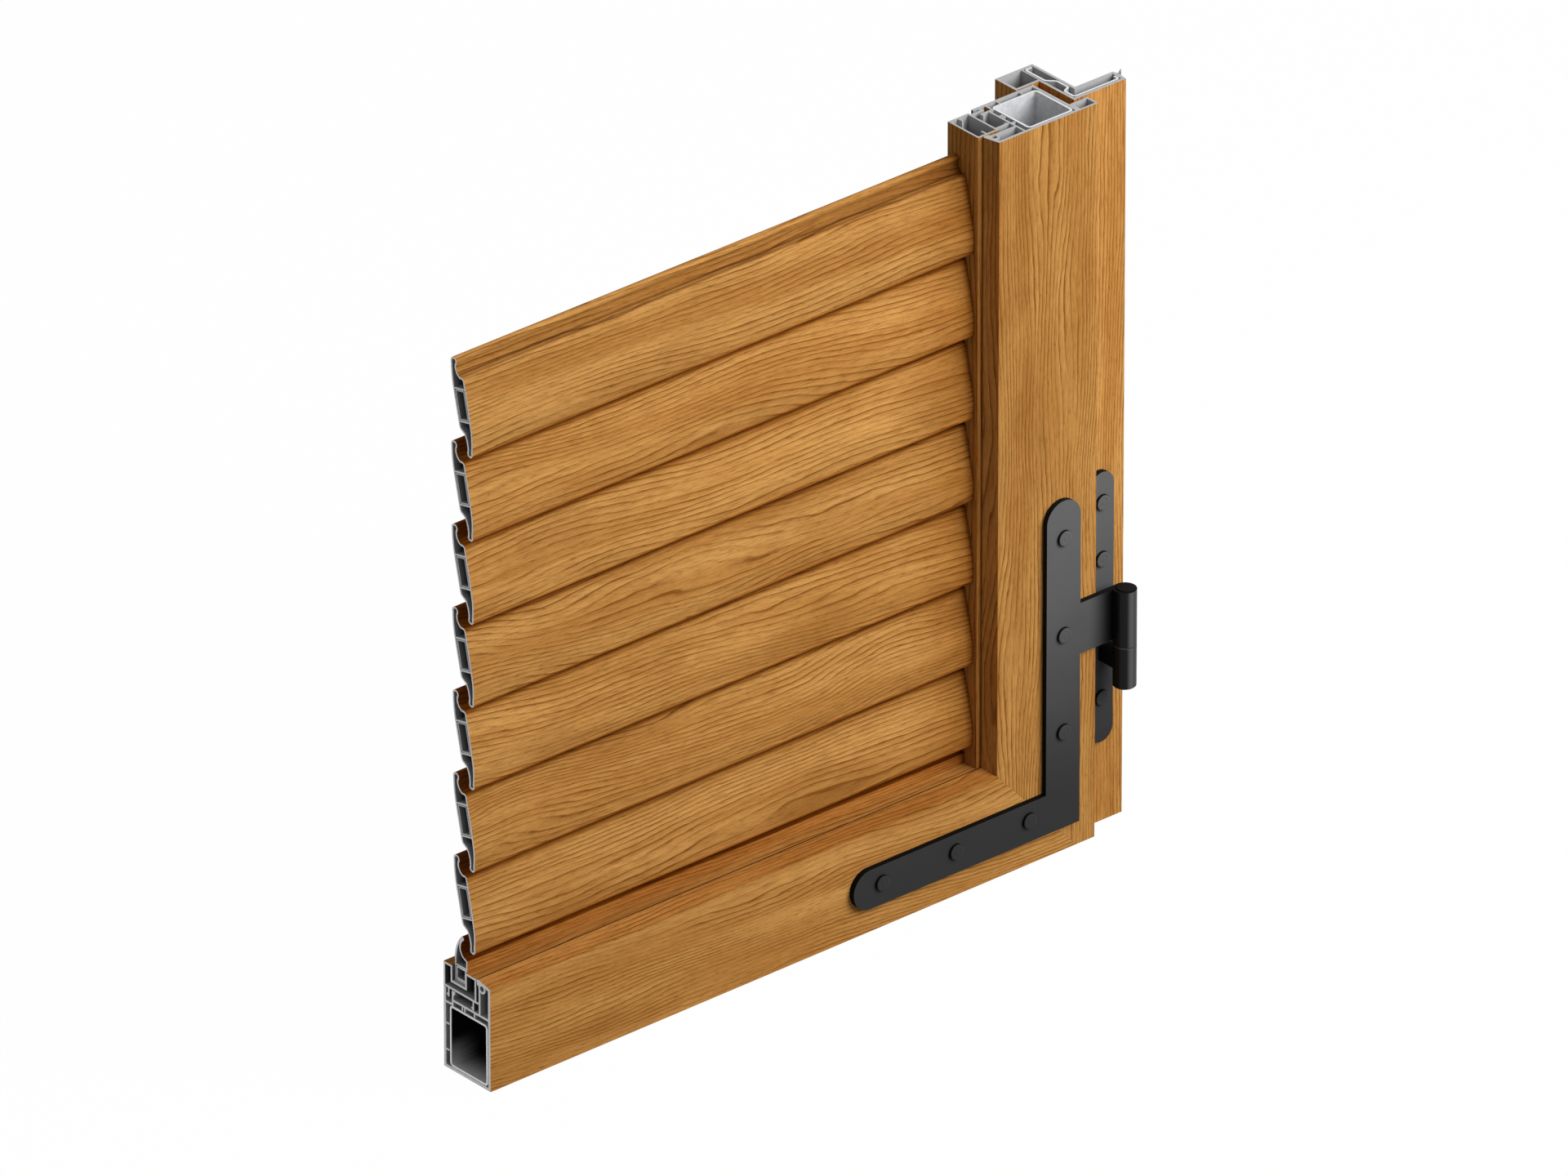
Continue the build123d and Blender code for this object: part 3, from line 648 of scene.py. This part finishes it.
def rubber():
    """Extruded gasket: dark, matt and a little dusty, with fine lines along it."""
    finish = Finish("gasket_rubber")
    place = finish.place()
    lines = finish.noise(finish.stretch(place, (1, 1, 0.03)), 3.0, 2.0)
    colour = finish.blend(lines, shade(34, 32, 31), shade(62, 59, 57))
    return finish.close(
        Base_Color=colour,
        Roughness=0.6 + lines * 0.2,
        Specular_IOR_Level=0.3,
        Normal=finish.bump(lines, 0.3, 0.00005),
    )


def rubber_cut():
    """The cut end of the gasket, paler than its skin."""
    finish = Finish("gasket_cut")
    grain = finish.noise(finish.place(), 3.0, 3.0)
    colour = finish.blend(grain, shade(150, 148, 145), shade(205, 203, 200))
    return finish.close(Base_Color=colour, Roughness=0.7 + grain * 0.1)


gasket_skin = rubber()
dress("frame_gasket", along_stile, gasket_skin, rubber_cut(), gasket_skin)

# Corner strap hinge, jamb plate and cap
# Steel strap and plate, 4 mm thick, with turned barrels, all powder-coated in a
# fine matt black. The strap is screwed to the leaf and the plate to the jamb.

axis_x = sum(corner.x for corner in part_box("hinge_pin")) / 2
axis_y = sum(corner.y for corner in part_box("hinge_pin")) / 2
barrel_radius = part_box("hinge_washer")[1].x - axis_x
edge_round = 0.00035
# painted light: the coat gets lighter between these heights, in mm
painted_light_from = 20
painted_light_to = 250
# painted shadow of the barrel: the coat beside it darkens between these distances, in barrel radii
barrel_shadow_from = 1.3
barrel_shadow_to = 3.8
barrel_shadow_black = shade(10, 10, 10)


def black_coat(name, low_tone, high_tone, shine, gloss, barrel_shadow=1.0, painted_highlight=None):
    """Fine black powder coat with a light orange peel, lighter towards the top as painted light."""
    finish = Finish(name)
    place = finish.place()
    peel = finish.noise(place, 1.6, 2.0, 0.5)
    grit = finish.noise(place, 5.0, 2.0, 0.6)
    worn = finish.noise(place, 0.03, 3.0)
    painted_light = finish.step(finish.axis(place, 2) + (worn - 0.5) * 40, painted_light_from, painted_light_to)
    colour = finish.blend(painted_light, shade(*[low_tone] * 3), shade(*[high_tone] * 3))
    # painted shadow of the barrel on the coat beside it
    side = finish.axis(place, 0) - axis_x * 1000
    out = finish.axis(place, 1) - axis_y * 1000
    radius = barrel_radius * 1000
    beside = finish.step((side**2 + out**2) ** 0.5, radius * barrel_shadow_from, radius * barrel_shadow_to)
    colour = finish.blend(1 - (1 - beside) * barrel_shadow, barrel_shadow_black, colour)
    if painted_highlight:
        # painted highlight: a lighter grey band down the front of the barrel
        rise = finish.step(side, radius * -0.56, radius * -0.22)
        fall = 1 - finish.step(side, radius * -0.12, radius * 0.3) * 0.75
        colour = finish.blend(rise * fall, colour, shade(*[painted_highlight] * 3))
    return finish.close(
        Base_Color=colour,
        Roughness=gloss + grit * 0.14 + worn * 0.06,
        Specular_IOR_Level=shine,
        Normal=finish.bump(peel * 0.7 + grit * 0.3, 0.2, 0.00006),
    )


# copies of one powder coat: each tone pair is painted light rising with height, and the plate's copy is
# lighter than the strap's
flat_coat = black_coat("black_powder_coat", 51, 102, shine=0.06, gloss=0.42)
plate_coat = black_coat("black_plate_coat", 48, 112, shine=0.06, gloss=0.42, barrel_shadow=0.25)
# a darker copy of the coat, painted shade for the side faces, the barrel ends, the cap and the screws' rims
painted_shade_coat = black_coat("black_edge_coat", 14, 26, shine=0.03, gloss=0.5, barrel_shadow=0.0)
# the barrel's copy of the coat is darker, as painted shade, with the painted highlight down its front
barrel_coat = black_coat("black_barrel_coat", 16, 24, shine=0.12, gloss=0.2, barrel_shadow=0.0, painted_highlight=88)


def plain_mesh(thing):
    """Turn an object's modifiers into a plain mesh."""
    depsgraph = bpy.context.evaluated_depsgraph_get()
    mesh = bpy.data.meshes.new_from_object(thing.evaluated_get(depsgraph), depsgraph=depsgraph)
    mesh.name = thing.name
    return mesh


def rounded_copy(node, name, flat):
    """A hinge part's CAD shape with its edges broken, as rolled and coated steel has."""
    work = bmesh.new()
    work.from_mesh(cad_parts[node].data)
    bmesh.ops.remove_doubles(work, verts=work.verts, dist=1e-6)
    bmesh.ops.dissolve_limit(work, angle_limit=math.radians(0.5), verts=work.verts, edges=work.edges)
    sharp = [
        edge
        for edge in work.edges
        if len(edge.link_faces) == 2 and edge.calc_face_angle() > math.radians(35)
    ]
    bmesh.ops.bevel(
        work, geom=sharp, offset=edge_round, segments=2, profile=0.5, affect="EDGES", clamp_overlap=True
    )
    bmesh.ops.recalc_face_normals(work, faces=work.faces)
    mesh = bpy.data.meshes.new(name)
    work.to_mesh(mesh)
    work.free()
    mesh.shade_smooth()
    mesh.set_sharp_from_angle(angle=math.radians(40))
    for material in (flat, barrel_coat, painted_shade_coat):
        mesh.materials.append(material)
    # flat faces, the turned barrel, and the edges and the barrel's ends, which get the painted shade coat
    for face in mesh.polygons:
        from_axis = math.hypot(face.center.x - axis_x, face.center.y - axis_y)
        if from_axis < barrel_radius * 1.02:
            face.material_index = 1 if abs(face.normal.z) < 0.9 else 2
        else:
            face.material_index = 0 if abs(face.normal.y) > 0.45 else 2
    made = bpy.data.objects.new(name, mesh)
    bpy.context.scene.collection.objects.link(made)
    # the flat faces stay flat where the broken edges meet them
    even = made.modifiers.new("even_normals", "WEIGHTED_NORMAL")
    even.mode = "FACE_AREA"
    even.weight = 100
    even.keep_sharp = True
    made.data = plain_mesh(made)
    made.modifiers.clear()
    return made


hinge_halves = (
    ("corner_strap_hinge", "corner_strap", flat_coat, "leaf"),
    ("jamb_hinge_plate", "jamb_plate", plate_coat, "frame"),
)
for node, name, coat, body in hinge_halves:
    half = rounded_copy(node, name, coat)
    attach(half, body)
    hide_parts(node)

def drawn_steel():
    """Bright drawn steel of the hinge pin, with turning marks."""
    finish = Finish("pin_steel")
    place = finish.place()
    marks = finish.noise(finish.stretch(place, (0.2, 0.2, 1)), 2.5, 2.0)
    colour = finish.blend(marks, shade(170, 170, 172), shade(128, 128, 130))
    return finish.close(Base_Color=colour, Metallic=0.9, Roughness=0.3 + marks * 0.15)


def black_nylon():
    """Moulded nylon of the washer."""
    finish = Finish("washer_nylon")
    grain = finish.noise(finish.place(), 2.0, 2.0)
    colour = finish.blend(grain, shade(26, 26, 27), shade(38, 38, 39))
    return finish.close(Base_Color=colour, Roughness=0.45 + grain * 0.1)


small_parts = (("knuckle_cap", painted_shade_coat), ("hinge_pin", drawn_steel()), ("hinge_washer", black_nylon()))
for name, material in small_parts:
    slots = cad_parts[name].data.materials
    slots.clear()
    slots.append(material)

# Screws
# Low round heads, black-coated like the strap, with a shallow ring in the middle
# and no drive to be seen. Their plain shanks stand in the holes of the profiles.

screw_turn_seed = 5
head_low, head_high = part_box("strap_screw_1")
head_radius = (head_high.x - head_low.x) / 2
screw_length = head_high.y - head_low.y


def screw_mesh():
    """One screw turned about the Y axis, with its head from y = 0 backwards."""
    r = head_radius
    rise = 0.0021
    shank = 0.0024
    profile = [
        (0, 0.00010),
        (0.40 * r, 0.00010),
        (0.45 * r, 0.00018),
        (0.50 * r, 0.00010),
        (0.86 * r, 0.00016),
        (0.95 * r, 0.00032),
        (r, 0.00070),
        (r, rise),
        (shank, rise),
        (shank, screw_length - shank),
        (0, screw_length),
    ]
    turns = 48
    points = []
    faces = []
    for reach, along in profile:
        for step in range(turns):
            angle = 2 * math.pi * step / turns
            points.append((reach * math.cos(angle), along, reach * math.sin(angle)))
    for ring in range(len(profile) - 1):
        for step in range(turns):
            after = (step + 1) % turns
            a = ring * turns
            b = a + turns
            faces.append((a + step, b + step, b + after, a + after))
    mesh = bpy.data.meshes.new("screw")
    mesh.from_pydata(points, [], faces)
    work = bmesh.new()
    work.from_mesh(mesh)
    bmesh.ops.remove_doubles(work, verts=work.verts, dist=1e-6)
    bmesh.ops.recalc_face_normals(work, faces=work.faces)
    work.to_mesh(mesh)
    work.free()
    mesh.shade_smooth()
    mesh.set_sharp_from_angle(angle=math.radians(38))
    return mesh


def screw_tree():
    """Geometry Nodes: a screw on every point, each turned by its own angle."""
    tree = bpy.data.node_groups.new("screws_on_points", "GeometryNodeTree")
    inputs = (
        ("Geometry", "Geometry"),
        ("Screw", "Object"),
        ("Seed", "Int"),
        ("Face Finish", "Material"),
        ("Rim Finish", "Material"),
    )
    for name, kind in inputs:
        tree.interface.new_socket(name=name, in_out="INPUT", socket_type=f"NodeSocket{kind}")
    tree.interface.new_socket(name="Geometry", in_out="OUTPUT", socket_type="NodeSocketGeometry")
    entry = tree.nodes.new("NodeGroupInput")
    info = tree.nodes.new("GeometryNodeObjectInfo")
    turn = tree.nodes.new("FunctionNodeRandomValue")
    turn.data_type = "FLOAT_VECTOR"
    turn.inputs["Min"].default_value = (0, 0, 0)
    turn.inputs["Max"].default_value = (0, 2 * math.pi, 0)
    seat = tree.nodes.new("GeometryNodeInstanceOnPoints")
    real = tree.nodes.new("GeometryNodeRealizeInstances")
    coat = tree.nodes.new("GeometryNodeSetMaterial")
    rim = tree.nodes.new("GeometryNodeSetMaterial")
    facing = tree.nodes.new("GeometryNodeInputNormal")
    parts = tree.nodes.new("ShaderNodeSeparateXYZ")
    # what doesn't look to the front, along -Y, is rim, which gets the painted shade coat
    side_on = tree.nodes.new("FunctionNodeCompare")
    side_on.operation = "GREATER_THAN"
    side_on.inputs["B"].default_value = -0.6
    leave = tree.nodes.new("NodeGroupOutput")
    wires = (
        (entry, "Screw", info, "Object"),
        (entry, "Seed", turn, "Seed"),
        (entry, "Geometry", seat, "Points"),
        (info, "Geometry", seat, "Instance"),
        (turn, "Value", seat, "Rotation"),
        (seat, "Instances", real, "Geometry"),
        (real, "Geometry", coat, "Geometry"),
        (entry, "Face Finish", coat, "Material"),
        (facing, "Normal", parts, "Vector"),
        (parts, "Y", side_on, "A"),
        (coat, "Geometry", rim, "Geometry"),
        (side_on, "Result", rim, "Selection"),
        (entry, "Rim Finish", rim, "Material"),
        (rim, "Geometry", leave, "Geometry"),
    )
    for source, output, target, socket in wires:
        tree.links.new(source.outputs[output], target.inputs[socket])
    return tree


def set_screws(name, screws, tree, pattern, face):
    """All the screws of one body as one piece."""
    seats = []
    for screw in screws:
        low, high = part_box(screw)
        seats.append(((low.x + high.x) / 2, low.y, (low.z + high.z) / 2))
    cloud = bpy.data.meshes.new(f"{name}_seats")
    cloud.from_pydata(seats, [], [])
    holder = bpy.data.objects.new(f"{name}_seats", cloud)
    bpy.context.scene.collection.objects.link(holder)
    modifier = holder.modifiers.new("screws", "NODES")
    modifier.node_group = tree
    values = {"Screw": pattern, "Seed": screw_turn_seed, "Face Finish": face, "Rim Finish": painted_shade_coat}
    for item in tree.interface.items_tree:
        if item.in_out == "INPUT" and item.name in values:
            modifier[item.identifier] = values[item.name]
    mesh = plain_mesh(holder)
    mesh.name = name
    bpy.data.objects.remove(holder)
    made = bpy.data.objects.new(name, mesh)
    bpy.context.scene.collection.objects.link(made)
    return made


pattern = bpy.data.objects.new("screw_pattern", screw_mesh())
bpy.context.scene.collection.objects.link(pattern)
screws_on_points = screw_tree()
screw_sets = (
    ("strap_screws", strap_screws, flat_coat, "leaf"),
    ("jamb_screws", jamb_screws, plate_coat, "frame"),
)
for name, screws, coat, body in screw_sets:
    heads = set_screws(name, screws, screws_on_points, pattern, coat)
    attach(heads, body)
    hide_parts(*screws)
bpy.data.objects.remove(pattern)

# Camera, lights and floor
# A long lens from the left and above. One soft key light stands to the right and
# in front, with a dim even fill, on a plain white floor.

aim = Vector((0.004905, 0.014128, 0.232942))
right = Vector((0.75769, -0.65261, 0))
upward = Vector((0.31408, 0.36465, 0.87658))
backward = Vector((-0.57206, -0.66418, 0.48126))
camera_distance = 18.577
lens = bpy.data.cameras.new("camera")
lens.lens = 711.6
lens.sensor_width = 36
lens.clip_end = 200
camera = bpy.data.objects.new("camera", lens)
stand = aim + backward * camera_distance
camera.matrix_world = Matrix(
    (
        (right.x, upward.x, backward.x, stand.x),
        (right.y, upward.y, backward.y, stand.y),
        (right.z, upward.z, backward.z, stand.z),
        (0, 0, 0, 1),
    )
)
bpy.context.scene.collection.objects.link(camera)
bpy.context.scene.camera = camera

# the key light's azimuth is to the right of the front
key_azimuth = math.radians(30)
key_height = math.radians(33)
key_distance = 2.4
key_size = 1.9
key_level = 1.02
watts_per_level = 9.87
key = bpy.data.lights.new("key_light", "AREA")
key.shape = "DISK"
key.size = key_size
key.energy = key_level * watts_per_level * key_distance**2
across = math.cos(key_height)
towards = Vector((math.sin(key_azimuth) * across, -math.cos(key_azimuth) * across, math.sin(key_height)))
lamp = bpy.data.objects.new("key_light", key)
lamp.location = aim + towards * key_distance
lamp.rotation_euler = towards.to_track_quat("Z", "Y").to_euler()
bpy.context.scene.collection.objects.link(lamp)


def seen_white(finish):
    """1 for camera, mirror and see-through rays, 0 for the rest."""
    total = finish.node("ShaderNodeLightPath", output="Is Camera Ray")
    for name in ("Is Glossy Ray", "Is Transmission Ray"):
        ray = finish.node("ShaderNodeLightPath", output=name)
        total = finish.node("ShaderNodeMath", {"operation": "ADD", "use_clamp": True}, {0: total, 1: ray})
    return total


white = (1, 1, 1, 1)
fill_level = 0.3
sky = Finish("studio", "worlds")
bright = sky.node("ShaderNodeBackground", values={"Color": white})
dim = sky.node("ShaderNodeBackground", values={"Color": white, "Strength": fill_level})
either = sky.node("ShaderNodeMixShader", values={0: seen_white(sky), 1: dim, 2: bright})
sky.node("ShaderNodeOutputWorld", values={"Surface": either})
bpy.context.scene.world = sky.owner

floor_half = 8.0
floor_drop = 0.0002
floor_glow = 0.985
floor_grey = 0.2
floor_white = 0.9
sheet = bpy.data.meshes.new("floor")
corners = [
    (floor_half * x, floor_half * y, -floor_drop) for x, y in ((-1, -1), (1, -1), (1, 1), (-1, 1))
]
sheet.from_pydata(corners, [], [(0, 1, 2, 3)])
paper = Finish("white_paper")
seen = seen_white(paper)
pale = paper.node("ShaderNodeMapRange", values={"Value": seen, "To Min": floor_grey, "To Max": floor_white})
matt = paper.node("ShaderNodeBsdfDiffuse", values={"Color": pale})
glow = paper.node("ShaderNodeEmission")
mixed = paper.node("ShaderNodeMixShader", values={0: seen * floor_glow, 1: matt, 2: glow})
paper.node("ShaderNodeOutputMaterial", values={"Surface": mixed})
sheet.materials.append(paper.owner)
floor = bpy.data.objects.new("floor", sheet)
bpy.context.scene.collection.objects.link(floor)

bpy.context.scene.view_settings.view_transform = "Standard"
